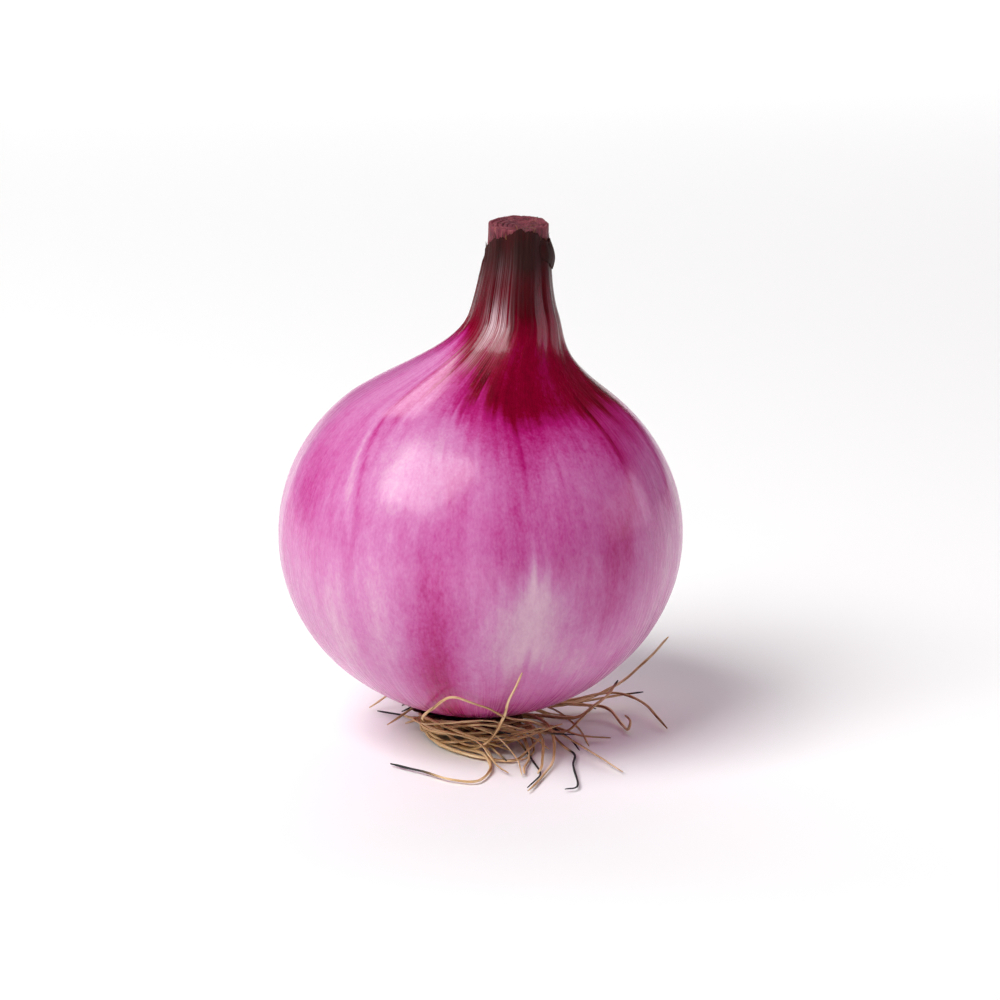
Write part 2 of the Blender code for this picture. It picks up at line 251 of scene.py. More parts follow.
def skin_flush(bearing, height):
    """Depth of the red, from 0 for pale pink to 1 for the blackish neck; a few pale bands in it are painted
    highlight.
    """
    turn = Vector((math.cos(math.radians(bearing)), math.sin(math.radians(bearing)), 0))
    feather = noise.noise(turn * 9) + 0.7 * noise.noise(turn * 26) + 0.5 * noise.noise(turn * 60)
    # the crimson reaches lowest from the front round to the right, and again at the back
    behind = (0.5 + 0.5 * math.cos(math.radians(bearing - 205))) ** 3
    lobe = smooth_step((bearing + 22) / 42) * (1 - 0.5 * smooth_step((bearing - 95) / 30)) + behind
    wide = smooth_step((bearing + 60) / 50) * (1 - smooth_step((bearing - 60) / 50)) + behind
    left = smooth_step((-22 - bearing) / 50) * smooth_step((bearing + 170) / 60)
    edge = CRIMSON_EDGE - 8 * min(lobe, 1) + 7 * left + 1.5 * feather
    halo = 4 + 8 * min(wide, 1)
    flush = BASE_FLUSH
    # deeper in a soft halo below the crimson's edge, at that edge, and twice again up the neck
    flush += 0.20 * smooth_step((height - edge + halo) / halo)
    flush += 0.17 * smooth_step((height - edge + 2) / 4.5)
    flush += 0.09 * smooth_step((height - 80) / 9)
    flush += 0.14 * smooth_step((height - 90) / 7)
    # and at the bulb's foot, most at the front
    flush += 0.16 * (1 - smooth_step((height - 6) / 12)) * (0.6 + 0.4 * math.cos(math.radians(bearing)))
    height += 4 * feather
    for top_bearing, top, low_bearing, low, width, depth in SKIN_BANDS:
        along = (top - height) / (top - low)
        inside = smooth_step((along + 0.35) / 0.7) * smooth_step((1.35 - along) / 0.7)
        if inside > 0:
            middle = top_bearing + (low_bearing - top_bearing) * min(max(along, 0), 1)
            apart = (bearing - middle + 180) % 360 - 180
            flush += depth * inside * math.exp(-((apart / width) ** 2))
    return flush


def skin_painted_sheen(bearing, height):
    """How strongly painted sheen lies: on the neck's left front and the shoulder below it, and most between
    them, a painted highlight at the foot of the neck.
    """
    on_neck = math.exp(-(((bearing + 28) / 26) ** 2))
    on_neck *= smooth_step((height - 84) / 6) * smooth_step((98.5 - height) / 5)
    on_shoulder = math.exp(-(((bearing + 36) / 22) ** 2))
    on_shoulder *= smooth_step((height - 75) / 3) * smooth_step((82 - height) / 4)
    # the painted highlight at the foot of the neck
    at_base = math.exp(-(((bearing + 24) / 14) ** 2) - ((height - 84.5) / 3.2) ** 2)
    return 0.12 * on_neck + 0.3 * on_shoulder + 1.1 * at_base


def turn_outline(mesh, points, turns):
    """The half outline, given as (radius, height), turned once round the upright axis."""
    outline = [mesh.verts.new((radius, 0, height)) for radius, height in points]
    path = [mesh.edges.new(pair) for pair in zip(outline, outline[1:])]
    bmesh.ops.spin(mesh, geom=outline + path, cent=(0, 0, 0), axis=(0, 0, 1), angle=math.tau, steps=turns,
                   use_duplicate=False)
    bmesh.ops.remove_doubles(mesh, verts=mesh.verts, dist=TINY)


def finish_mesh(mesh, name):
    """The mesh made an object of the scene, shaded smooth."""
    made = bpy.data.meshes.new(name)
    mesh.to_mesh(made)
    mesh.free()
    made.shade_smooth()
    piece = bpy.data.objects.new(name, made)
    bpy.context.collection.objects.link(piece)
    return piece


mesh = bmesh.new()
shown = mesh.verts.layers.float.new("flush")
# the strength of the painted sheen and painted highlight at each point
painted_sheen_layer = mesh.verts.layers.float.new("painted_sheen")
around = mesh.verts.layers.float_vector.new("around")
turn_outline(mesh, skin_outline(), SKIN_TURNS)
for vertex in mesh.verts:
    radius = math.hypot(vertex.co.x, vertex.co.y)
    height = vertex.co.z
    angle = math.atan2(vertex.co.y, vertex.co.x)
    # from straight behind on the left, -180, through the front, 0
    bearing = (math.degrees(angle) + 90 + 180) % 360 - 180
    vertex[around] = Vector((math.cos(angle), math.sin(angle), height / BODY_RADIUS))
    vertex[shown] = skin_flush(bearing, height / MM)
    vertex[painted_sheen_layer] = skin_painted_sheen(bearing, height / MM)
    if radius > TINY and height > SEAT_HEIGHT + TINY:
        fuller = (radius + skin_relief(angle, height)) / radius
        vertex.co.x *= fuller
        vertex.co.y *= fuller
    near_edge = smooth_step((height - EDGE_SHIFTS_FROM) / (EDGE_SHIFTS_FULLY - EDGE_SHIFTS_FROM))
    if radius > TINY:
        vertex.co.z += near_edge * (torn_edge_shift(angle) + ragged(angle, EDGE_HEIGHT))
    vertex.co.x += axis_lean(height)
bmesh.ops.recalc_face_normals(mesh, faces=mesh.faces)
bulb_skin = finish_mesh(mesh, "bulb_skin")
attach(bulb_skin, "root")
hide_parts("bulb")


def put(tree, kind, sockets=None, **settings):
    """One shader node with its settings, its sockets set to a value or fed by another node's socket."""
    made = tree.nodes.new(kind)
    for name, value in settings.items():
        setattr(made, name, value)
    for name, value in (sockets or {}).items():
        if isinstance(value, bpy.types.NodeSocket):
            tree.links.new(value, made.inputs[name])
        else:
            made.inputs[name].default_value = value
    return made


def colour_ramp(tree, value, stops):
    made = put(tree, "ShaderNodeValToRGB", {"Fac": value})
    while len(made.color_ramp.elements) < len(stops):
        made.color_ramp.elements.new(0.5)
    for element, (place, colour) in zip(made.color_ramp.elements, stops):
        element.position = place
        element.color = (*colour, 1)
    return made.outputs["Color"]


def mixed_colour(tree, share, first, second):
    """The first colour, another node's, and by this share the second, which is the same everywhere."""
    colours = {"Factor": share, 6: first, 7: (*second, 1)}
    return put(tree, "ShaderNodeMix", colours, data_type="RGBA").outputs[2]


def streak_group():
    """Lengthwise fibres: noise drawn out along the growth, packed closer round it."""
    group = bpy.data.node_groups.new("lengthwise_streaks", "ShaderNodeTree")
    group.interface.new_socket("Place", in_out="INPUT", socket_type="NodeSocketVector")
    group.interface.new_socket("Across", in_out="INPUT", socket_type="NodeSocketFloat")
    group.interface.new_socket("Along", in_out="INPUT", socket_type="NodeSocketFloat")
    group.interface.new_socket("Streaks", in_out="OUTPUT", socket_type="NodeSocketFloat")
    given = put(group, "NodeGroupInput")
    result = put(group, "NodeGroupOutput")
    across = given.outputs["Across"]
    size = put(group, "ShaderNodeCombineXYZ", {"X": across, "Y": across, "Z": given.outputs["Along"]})
    factors = {0: given.outputs["Place"], 1: size.outputs[0]}
    scaled = put(group, "ShaderNodeVectorMath", factors, operation="MULTIPLY")
    grain = {"Vector": scaled.outputs[0], "Scale": 1.0, "Detail": 3.0, "Roughness": 0.6}
    drawn = put(group, "ShaderNodeTexNoise", grain)
    group.links.new(drawn.outputs["Fac"], result.inputs["Streaks"])
    return group


STREAKS = streak_group()


def streaks(tree, place, across, along):
    made = put(tree, "ShaderNodeGroup", node_tree=STREAKS)
    tree.links.new(place, made.inputs["Place"])
    made.inputs["Across"].default_value = across
    made.inputs["Along"].default_value = along
    return made.outputs["Streaks"]


def add_weighted(tree, total, value, weight):
    """total + weight * (value - 0.5)"""
    centred = put(tree, "ShaderNodeMath", {0: value, 1: 0.5}, operation="SUBTRACT").outputs[0]
    terms = {0: centred, 1: weight, 2: total}
    return put(tree, "ShaderNodeMath", terms, operation="MULTIPLY_ADD").outputs[0]


def noise_of(tree, place, scale, detail):
    grain = {"Vector": place, "Scale": scale, "Detail": detail}
    return put(tree, "ShaderNodeTexNoise", grain).outputs["Fac"]


def graded(tree, value, start, end, first=0.0, last=1.0, soft=False):
    """The value's stretch from start to end, drawn out from first to last and held there beyond it."""
    stretch = {"Value": value, "From Min": start, "From Max": end, "To Min": first, "To Max": last}
    course = "SMOOTHSTEP" if soft else "LINEAR"
    return put(tree, "ShaderNodeMapRange", stretch, interpolation_type=course).outputs["Result"]


def new_material(name):
    made = bpy.data.materials.new(name)
    made.use_nodes = True
    return made, made.node_tree, made.node_tree.nodes["Principled BSDF"]


skin_material, tree, shader = new_material("red_onion_skin")
place = put(tree, "ShaderNodeAttribute", attribute_name="around").outputs["Vector"]
depth = put(tree, "ShaderNodeAttribute", attribute_name="flush").outputs["Fac"]
where = put(tree, "ShaderNodeTexCoord").outputs["Object"]
broad = streaks(tree, place, across=4.2, along=0.9)
middle = streaks(tree, place, across=15.0, along=1.3)
fine = streaks(tree, place, across=62.0, along=2.6)
# speckles drawn out a little along the growth
longer = put(tree, "ShaderNodeVectorMath", {0: where, 1: (1.0, 1.0, 0.55)}, operation="MULTIPLY").outputs[0]
mottle = noise_of(tree, longer, scale=620.0, detail=3.0)
cells = noise_of(tree, longer, scale=2100.0, detail=1.0)
flushed = graded(tree, depth, start=0.5, end=0.85)
# the blackish top of the neck has lost its gloss, and the deep red skin is the more even
dull = graded(tree, depth, start=0.84, end=0.96, last=0.32)
calm = graded(tree, depth, start=0.5, end=0.75, first=1.0, last=0.4)
coat = colour_ramp(tree, depth, (
    (0.45, (0.42, 0.42, 0.42)),
    (0.66, (0.55, 0.55, 0.55)),
    (0.84, (0.20, 0.20, 0.20)),
    (0.97, (0.04, 0.04, 0.04)),
))
uneven = add_weighted(tree, 0.0, broad, weight=0.32)
uneven = add_weighted(tree, uneven, middle, weight=0.12)
uneven = add_weighted(tree, uneven, fine, weight=0.045)
# the streaks run together where the skin draws in under the bulb
level = put(tree, "ShaderNodeSeparateXYZ", {"Vector": where}).outputs["Z"]
spread = graded(tree, level, start=0.004, end=0.024, first=0.4, last=1.0)
uneven = put(tree, "ShaderNodeMath", {0: uneven, 1: spread}, operation="MULTIPLY").outputs[0]
uneven = add_weighted(tree, uneven, mottle, weight=0.17)
uneven = add_weighted(tree, uneven, cells, weight=0.15)
depth = put(tree, "ShaderNodeMath", {0: uneven, 1: calm, 2: depth}, operation="MULTIPLY_ADD").outputs[0]
skin_colour = colour_ramp(tree, depth, (
    (0.05, (0.75, 0.47, 0.60)),
    (0.18, (0.68, 0.35, 0.53)),
    (0.30, (0.62, 0.215, 0.46)),
    (0.42, (0.56, 0.125, 0.365)),
    (0.52, (0.50, 0.055, 0.265)),
    (0.62, (0.41, 0.008, 0.150)),
    (0.74, (0.22, 0.0004, 0.020)),
    (0.84, (0.080, 0.0005, 0.005)),
    (0.93, (0.052, 0.004, 0.006)),
    (1.00, (0.028, 0.007, 0.006)),
))
# painted sheen and painted highlight: a pale pink laid in along the fibre streaks on the neck and shoulder
fibres = add_weighted(tree, middle, fine, weight=0.8)
painted_sheen = put(tree, "ShaderNodeAttribute", attribute_name="painted_sheen").outputs["Fac"]
painted_sheen = graded(tree, fibres, start=0.42, end=0.62, last=painted_sheen)
skin_colour = mixed_colour(tree, painted_sheen, skin_colour, (0.74, 0.52, 0.57))
roughness = graded(tree, fine, start=0.3, end=0.7, first=0.21, last=0.34)
roughness = put(tree, "ShaderNodeMath", {0: roughness, 1: dull}, operation="ADD").outputs[0]
ridges = put(tree, "ShaderNodeMath", {0: fine, 1: flushed, 2: mottle}, operation="MULTIPLY_ADD").outputs[0]
grain = add_weighted(tree, ridges, cells, weight=0.15)
relief = put(tree, "ShaderNodeBump", {"Height": grain, "Strength": 0.35, "Distance": 0.0003})
tree.links.new(skin_colour, shader.inputs["Base Color"])
tree.links.new(roughness, shader.inputs["Roughness"])
tree.links.new(coat, shader.inputs["Coat Weight"])
tree.links.new(relief.outputs["Normal"], shader.inputs["Normal"])
shader.inputs["Specular IOR Level"].default_value = 0.1
shader.inputs["Coat Roughness"].default_value = 0.17
bulb_skin.data.materials.append(skin_material)

# Cut end of the neck.
# The leaf bases inside the dry skin, still fleshy and wine red, packed one inside the next and cut off
# together. Their rims show as rings in the cut, and the outermost as a collar above the torn edge.
CORE_RADIUS = EDGE_RADIUS - 0.5 * MM
CORE_FOOT = EDGE_HEIGHT - 6 * MM
CORE_SHOULDER = CUT_HEIGHT - 0.9 * MM
CORE_RINGS = 16
CORE_TURNS = 220
CUT_RINGS = 70
CUT_SHARE = 0.97
SHEATH_RIMS = (0.86, 0.70, 0.53, 0.37, 0.2)
CUT_DISH = 0.5 * MM
CUT_FALL = 0.55 * MM
GROOVE_DEPTH = 0.26 * MM
GROOVE_WIDTH = 0.022
ROUGH_FROM = CUT_HEIGHT - 2 * MM


def cut_height(share):
    """Height of the cut at this share of the radius: a shallow dish, grooved between the sheaths."""
    height = CUT_HEIGHT - CUT_FALL - CUT_DISH * (1 - share * share)
    for rim in SHEATH_RIMS:
        height -= GROOVE_DEPTH * math.exp(-(((share - rim) / GROOVE_WIDTH) ** 2))
    return height


mesh = bmesh.new()
around = mesh.verts.layers.float_vector.new("around")
points = [(0, CORE_FOOT), (CORE_RADIUS - 0.5 * MM, CORE_FOOT)]
for step in range(1, CORE_RINGS + 1):
    points.append((CORE_RADIUS, CORE_FOOT + (CORE_SHOULDER - CORE_FOOT) * step / CORE_RINGS))
# the rim of the outermost sheath is a little rounded
points.append((CORE_RADIUS - 0.06 * MM, CUT_HEIGHT - CUT_FALL - 0.1 * MM))
for step in range(CUT_RINGS):
    share = CUT_SHARE * (1 - step / CUT_RINGS)
    points.append((CORE_RADIUS * share, cut_height(share)))
points.append((0, cut_height(0)))
turn_outline(mesh, points, CORE_TURNS)
for vertex in mesh.verts:
    radius = math.hypot(vertex.co.x, vertex.co.y)
    height = vertex.co.z
    angle = math.atan2(vertex.co.y, vertex.co.x)
    share = radius / CORE_RADIUS
    vertex[around] = Vector((math.cos(angle), math.sin(angle), height / BODY_RADIUS + 0.4 * share))
    # the outermost sheath follows the skin's folds, and the ones inside it are pressed out of round
    swell = waves(FOLD_WAVES, angle) + 0.05 * math.cos(27 * angle)
    squeeze = (1 - share) * (0.05 * math.cos(3 * angle + 1.2) + 0.04 * math.cos(5 * angle))
    fuller = 1 + squeeze + share * swell * 0.7 * MM / CORE_RADIUS
    vertex.co.x *= fuller
    vertex.co.y *= fuller
    if height > ROUGH_FROM:
        # cut a little aslant, lowest at the front
        vertex.co.z += CUT_FALL * vertex.co.y / CORE_RADIUS
        spot = Vector((vertex.co.x, vertex.co.y, 0))
        grain = noise.noise(spot * 900)
        rough = noise.noise(spot * 2600)
        vertex.co.z -= (0.16 * abs(grain) + 0.12 * abs(rough)) * MM
    vertex.co.x += axis_lean(height)
bmesh.ops.recalc_face_normals(mesh, faces=mesh.faces)
neck_core = finish_mesh(mesh, "neck_core")
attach(neck_core, "root")

core_material, tree, shader = new_material("cut_neck")
place = put(tree, "ShaderNodeAttribute", attribute_name="around").outputs["Vector"]
where = put(tree, "ShaderNodeTexCoord").outputs["Object"]
fibres = streaks(tree, place, across=26.0, along=5.0)
threads = streaks(tree, place, across=70.0, along=9.0)
blotch = noise_of(tree, where, scale=620.0, detail=3.0)
tone = add_weighted(tree, fibres, threads, weight=0.9)
tone = add_weighted(tree, tone, blotch, weight=0.8)
core_colour = colour_ramp(tree, tone, (
    (0.15, (0.035, 0.004, 0.008)),
    (0.38, (0.12, 0.008, 0.022)),
    (0.55, (0.21, 0.022, 0.045)),
    (0.72, (0.27, 0.055, 0.065)),
    (0.92, (0.30, 0.13, 0.065)),
))
relief = put(tree, "ShaderNodeBump", {"Height": tone, "Strength": 0.6, "Distance": 0.0004})
tree.links.new(core_colour, shader.inputs["Base Color"])
tree.links.new(relief.outputs["Normal"], shader.inputs["Normal"])
shader.inputs["Roughness"].default_value = 0.6
neck_core.data.materials.append(core_material)

# Loose flap.
# A scrap of the dry outer skin that has come away on the right of the neck under the torn edge. It
# still hangs on along its top and its sides, and bellies out between them.
FLAP_LOW = 93.6 * MM
FLAP_HIGH = 99.0 * MM
FLAP_LEFT = math.radians(-48)
FLAP_RIGHT = math.radians(70)
FLAP_LIFT = 0.72 * MM
FLAP_CURVE = 3.8
FLAP_THICKNESS = 0.16 * MM
FLAP_CLEARANCE = 0.06 * MM
FLAP_COLUMNS = 44
FLAP_ROWS = 26
FLAP_SEED = Vector((4.7, 1.3, 9.1))

mesh = bmesh.new()
around = mesh.verts.layers.float_vector.new("around")
shown = mesh.verts.layers.float.new("flush")
bmesh.ops.create_grid(mesh, x_segments=FLAP_COLUMNS, y_segments=FLAP_ROWS, size=0.5)
for vertex in mesh.verts:
    # the flat grid, from 0 to 1 across and up, is bent round the neck
    across = vertex.co.x + 0.5
    up = vertex.co.y + 0.5
    angle = FLAP_LEFT + (FLAP_RIGHT - FLAP_LEFT) * across
    tear = noise.noise(Vector((across * 5, 0, 3)) + FLAP_SEED)
    tear += 0.6 * noise.noise(Vector((across * 17, 0, 3)))
    height = FLAP_LOW + (FLAP_HIGH - FLAP_LOW) * up
    height += (1 - up) * (0.6 * tear + FLAP_CURVE * abs(2 * across - 1) ** 2.2) * MM
    belly = math.sin(math.pi * (0.06 + 0.94 * up)) * math.sin(math.pi * across ** 0.9) ** 1.3
    crease = 0.10 * noise.noise(Vector((across * 7, up * 2, 0)) + FLAP_SEED)
    share = (height - NECK_HEIGHT) / (EDGE_HEIGHT - NECK_HEIGHT)
    radius = neck_radius(share) + skin_relief(angle, height)
    radius += FLAP_CLEARANCE + FLAP_LIFT * belly * (1 + crease)
    vertex[around] = Vector((math.cos(angle), math.sin(angle), height / BODY_RADIUS + 2))
    vertex[shown] = 0.97 + 0.05 * tear
    vertex.co = (radius * math.cos(angle) + axis_lean(height), radius * math.sin(angle), height)
loose_flap = finish_mesh(mesh, "loose_flap")
thickness = loose_flap.modifiers.new("thickness", "SOLIDIFY")
thickness.thickness = FLAP_THICKNESS
thickness.offset = -1
loose_flap.data.materials.append(skin_material)
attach(loose_flap, "root")

# Torn fibres.
# Short brittle threads of the dry skin that stand up round its torn edge, and a few pale ones that the
# knife left lying on the cut.
FIBRE_COUNT = 64
CUT_THREADS = 12
THREAD_RADIUS = 0.07 * MM
THREAD_SIDES = 5
THREAD_STEPS = 5
SWAY = 0.16 * MM
SWAY_GROWS_OVER = 6 * MM
FLOOR_GAP = 0.05 * MM
PATTERN_LENGTH = 12 * MM
NEVER = 2.0


def grow_strand(name, route, radius, black_from, sides, draw):
    """A tapered, slightly flattened and wrinkled strand along the route, closed at both ends.

    It is black beyond the share of its length that black_from gives.
    """
    mesh = bmesh.new()
    grown = mesh.verts.layers.float_vector.new("around")
    burnt = mesh.verts.layers.float.new("flush")
    made = bmesh.ops.create_circle(mesh, cap_ends=False, segments=sides, radius=1)
    ring = made["verts"]
    edges = list(mesh.edges)
    seed = draw.uniform(0, 100)
    forward = (route[1] - route[0]).normalized()
    turn = forward.to_track_quat("Z", "Y")
    last = Matrix.Identity(4)
    length = 0
    for index, point in enumerate(route):
        # each step after the first extrudes the last ring and turns it along the route
        if index:
            length += (point - route[index - 1]).length
            after = route[min(index + 1, len(route) - 1)]
            heading = (after - route[index - 1]).normalized()
            turn = forward.rotation_difference(heading) @ turn
            forward = heading
            grown_out = bmesh.ops.extrude_edge_only(mesh, edges=edges)["geom"]
            ring = [item for item in grown_out if isinstance(item, bmesh.types.BMVert)]
            edges = [item for item in grown_out if isinstance(item, bmesh.types.BMEdge)]
            edges = [edge for edge in edges if edge.is_boundary]
        along = index / (len(route) - 1)
        wrinkle = 1 + 0.20 * noise.noise(Vector((seed, length * 420, 0)))
        taper = (1.15 - 0.55 * along) * (0.6 + 0.4 * min(1, (1 - along) * len(route) / 2))
        width = radius * wrinkle * taper
        sway = Vector([noise.noise(Vector((seed + axis * 31, length * 160, 3))) for axis in range(3)])
        spot = point + sway * SWAY * min(1, length / SWAY_GROWS_OVER)
        spot.z = min(max(spot.z, width + FLOOR_GAP), CUT_HEIGHT - width)
        flat = 0.82 + 0.12 * noise.noise(Vector((seed, length * 90, 7)))
        girth = Matrix.Diagonal((width, width * flat, width, 1))
        now = Matrix.Translation(spot) @ turn.to_matrix().to_4x4() @ girth
        bmesh.ops.transform(mesh, matrix=now @ last.inverted(), verts=ring)
        last = now
        # where round and along the strand each point lies, for its streaks
        for vertex in ring:
            local = now.inverted() @ vertex.co
            vertex[grown] = Vector((local.x, local.y, seed + length / PATTERN_LENGTH))
            vertex[burnt] = smooth_step((along - black_from + 0.05) / 0.10)
    bmesh.ops.holes_fill(mesh, edges=mesh.edges)
    bmesh.ops.recalc_face_normals(mesh, faces=mesh.faces)
    return finish_mesh(mesh, name)


def join_strands(strands):
    """All strands made one object, the first."""
    with bpy.context.temp_override(active_object=strands[0], selected_editable_objects=strands):
        bpy.ops.object.join()
    return strands[0]


def edge_fibre(draw):
    """A thread from just inside the torn edge up along the sheath."""
    angle = draw.uniform(0, math.tau)
    foot = EDGE_HEIGHT + torn_edge_shift(angle) - 0.5 * MM
    length = draw.uniform(0.6, 1.9) * MM
    lean = draw.uniform(-0.12, 0.12)
    route = []
    for step in range(THREAD_STEPS + 1):
        share = step / THREAD_STEPS
        turn = angle + lean * share
        radius = EDGE_RADIUS + (draw.uniform(-0.42, -0.2) + 0.12 * share) * MM
        point = Vector((radius * math.cos(turn), radius * math.sin(turn), foot + length * share))
        point.x += axis_lean(foot)
        route.append(point)
    return route


def cut_thread(draw):
    """A thread lying across the cut, over one of its rims."""
    angle = draw.uniform(0, math.tau)
    heading = angle + draw.uniform(-0.8, 0.8)
    start = Vector((math.cos(angle), math.sin(angle), 0)) * CORE_RADIUS * draw.uniform(0.35, 0.9)
    stride = Vector((math.cos(heading), math.sin(heading), 0)) * 0.3 * MM
    route = []
    for step in range(THREAD_STEPS + 1):
        point = start + stride * step
        share = min(point.length / CORE_RADIUS, CUT_SHARE)
        point = point.normalized() * share * CORE_RADIUS
        point.z = cut_height(share) + CUT_FALL * point.y / CORE_RADIUS + 0.02 * MM
        point.x += axis_lean(point.z)
        route.append(point)
    return route


fibre_draw = random.Random(12)
strands = []
for _ in range(FIBRE_COUNT):
    route = edge_fibre(fibre_draw)
    radius = fibre_draw.uniform(0.05, 0.12) * MM
    strands.append(grow_strand("torn_fibres", route, radius, NEVER, THREAD_SIDES, fibre_draw))
for _ in range(CUT_THREADS):
    route = cut_thread(fibre_draw)
    strands.append(grow_strand("cut_thread", route, THREAD_RADIUS, NEVER, THREAD_SIDES, fibre_draw))
fibres = join_strands(strands)
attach(fibres, "root")

fibre_material, tree, shader = new_material("torn_fibre")
place = put(tree, "ShaderNodeAttribute", attribute_name="around").outputs["Vector"]
patches = streaks(tree, place, across=0.4, along=0.12)
fibre_colour = colour_ramp(tree, patches, (
    (0.36, (0.020, 0.010, 0.008)),
    (0.50, (0.11, 0.035, 0.020)),
    (0.60, (0.33, 0.14, 0.045)),
))
tree.links.new(fibre_colour, shader.inputs["Base Color"])
shader.inputs["Roughness"].default_value = 0.6
fibres.data.materials.append(fibre_material)

# Root plate.
# The short woody stem under the bulb, a squat brown pad that the roots grow from. The onion stands on
# its foot, which is flat but for a few shallow hollows.
PLATE_RADIUS = 9.0 * MM
PLATE_FOOT_RADIUS = 7.5 * MM
PLATE_TOP = SEAT_HEIGHT - 0.3 * MM
PLATE_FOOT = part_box("root_tuft")[0].z
PLATE_TURNS = 120
FOOT_HOLLOWS = 0.25 * MM
FLAT_WITHIN = 0.01 * MM

mesh = bmesh.new()
points = [
    (0, PLATE_TOP), (4 * MM, PLATE_TOP), (8 * MM, PLATE_TOP), (8.7 * MM, PLATE_TOP - 0.6 * MM),
    (8.9 * MM, PLATE_TOP * 0.72), (PLATE_RADIUS, PLATE_TOP * 0.55), (8.85 * MM, PLATE_TOP * 0.38),
    (8.5 * MM, PLATE_TOP * 0.2), (8.0 * MM, 0.35 * MM), (PLATE_FOOT_RADIUS, PLATE_FOOT),
    (6.4 * MM, PLATE_FOOT), (4.8 * MM, PLATE_FOOT), (3.2 * MM, PLATE_FOOT), (1.6 * MM, PLATE_FOOT),
    (0, PLATE_FOOT),
]
turn_outline(mesh, points, PLATE_TURNS)
for vertex in mesh.verts:
    if PLATE_FOOT + FLAT_WITHIN < vertex.co.z < PLATE_TOP - FLAT_WITHIN:
        push = 0.97 + 0.05 * noise.noise(vertex.co * 700)
        vertex.co.x *= push
        vertex.co.y *= push
    elif vertex.co.z < PLATE_FOOT + FLAT_WITHIN:
        vertex.co.z += FOOT_HOLLOWS * abs(noise.noise(vertex.co * 600))
bmesh.ops.recalc_face_normals(mesh, faces=mesh.faces)
root_plate = finish_mesh(mesh, "root_plate")
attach(root_plate, "root")
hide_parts("root_tuft")

plate_material, tree, shader = new_material("woody_plate")
where = put(tree, "ShaderNodeTexCoord").outputs["Object"]
grain = noise_of(tree, where, scale=900.0, detail=4.0)
plate_colour = colour_ramp(tree, grain, (
    (0.3, (0.030, 0.014, 0.008)),
    (0.5, (0.11, 0.050, 0.022)),
    (0.7, (0.26, 0.14, 0.06)),
))
relief = put(tree, "ShaderNodeBump", {"Height": grain, "Strength": 0.8, "Distance": 0.0006})
tree.links.new(plate_colour, shader.inputs["Base Color"])
tree.links.new(relief.outputs["Normal"], shader.inputs["Normal"])
shader.inputs["Roughness"].default_value = 0.85
root_plate.data.materials.append(plate_material)

# Old scales.
# The withered feet of the outermost scales, dark brown and torn. They ring the root plate close under
# the bulb and reach out furthest on its left.
RAG_INNER = 8.3 * MM
RAG_REACH = 2.8 * MM
RAG_LEFT_REACH = 5.6 * MM
RAG_LEFT = math.radians(196)
RAG_THICKNESS = 0.18 * MM
RAG_RINGS = 12
RAG_TURNS = 260

mesh = bmesh.new()
points = [(RAG_INNER + step / RAG_RINGS, 0) for step in range(RAG_RINGS + 1)]
turn_outline(mesh, points, RAG_TURNS)
for vertex in mesh.verts:
    angle = math.atan2(vertex.co.y, vertex.co.x)
    # the flat ring was made 1 wide, so this runs from 0 at its inside to 1 at its outside
    share = math.hypot(vertex.co.x, vertex.co.y) - RAG_INNER
    turn = Vector((math.cos(angle), math.sin(angle), 0))
    tear = 0.55 + 0.5 * noise.noise(turn * 3.2) + 0.35 * noise.noise(turn * 11)
    tear += 0.15 * noise.noise(turn * 34)
    left = max(math.cos(angle - RAG_LEFT), 0) ** 3
    radius = RAG_INNER + share * (RAG_REACH * max(tear, 0.1) + RAG_LEFT_REACH * left * max(0.4 + tear, 0.3))
    under = WIDEST_HEIGHT - BODY_DEPTH * math.sqrt(1 - (radius / BODY_RADIUS) ** 2)
    hang = 0.8 + 0.9 * noise.noise(turn * 5 + Vector((0, 0, 4))) + 0.4 * noise.noise(turn * 19)
    droop = 0.35 + share * hang
    vertex.co = (turn.x * radius, turn.y * radius, under - max(droop, 0.3) * MM)
bmesh.ops.recalc_face_normals(mesh, faces=mesh.faces)
old_scales = finish_mesh(mesh, "old_scales")
thickness = old_scales.modifiers.new("thickness", "SOLIDIFY")
thickness.thickness = RAG_THICKNESS
thickness.offset = 0
old_scales.data.materials.append(plate_material)
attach(old_scales, "root")

# Roots.
# Dry fibrous roots, each a tapered wrinkled strand grown out of the plate. Those of the front are placed
# one by one, the rest by rules for a nest, for long roots and for short ones. Some ends have gone black.
ROOT_RADIUS = 0.42 * MM
ROOT_CLEARANCE = 1.25 * MM
ROOT_LOWEST = 0.54 * MM
ROOT_START_REACH = 5 * MM
ROOT_START_HEIGHT = 2.6 * MM
ROOT_SIDES = 9
BEND_STEPS = 9
NEST_COUNT = 11
MOSTLY_BLACK = 0.5

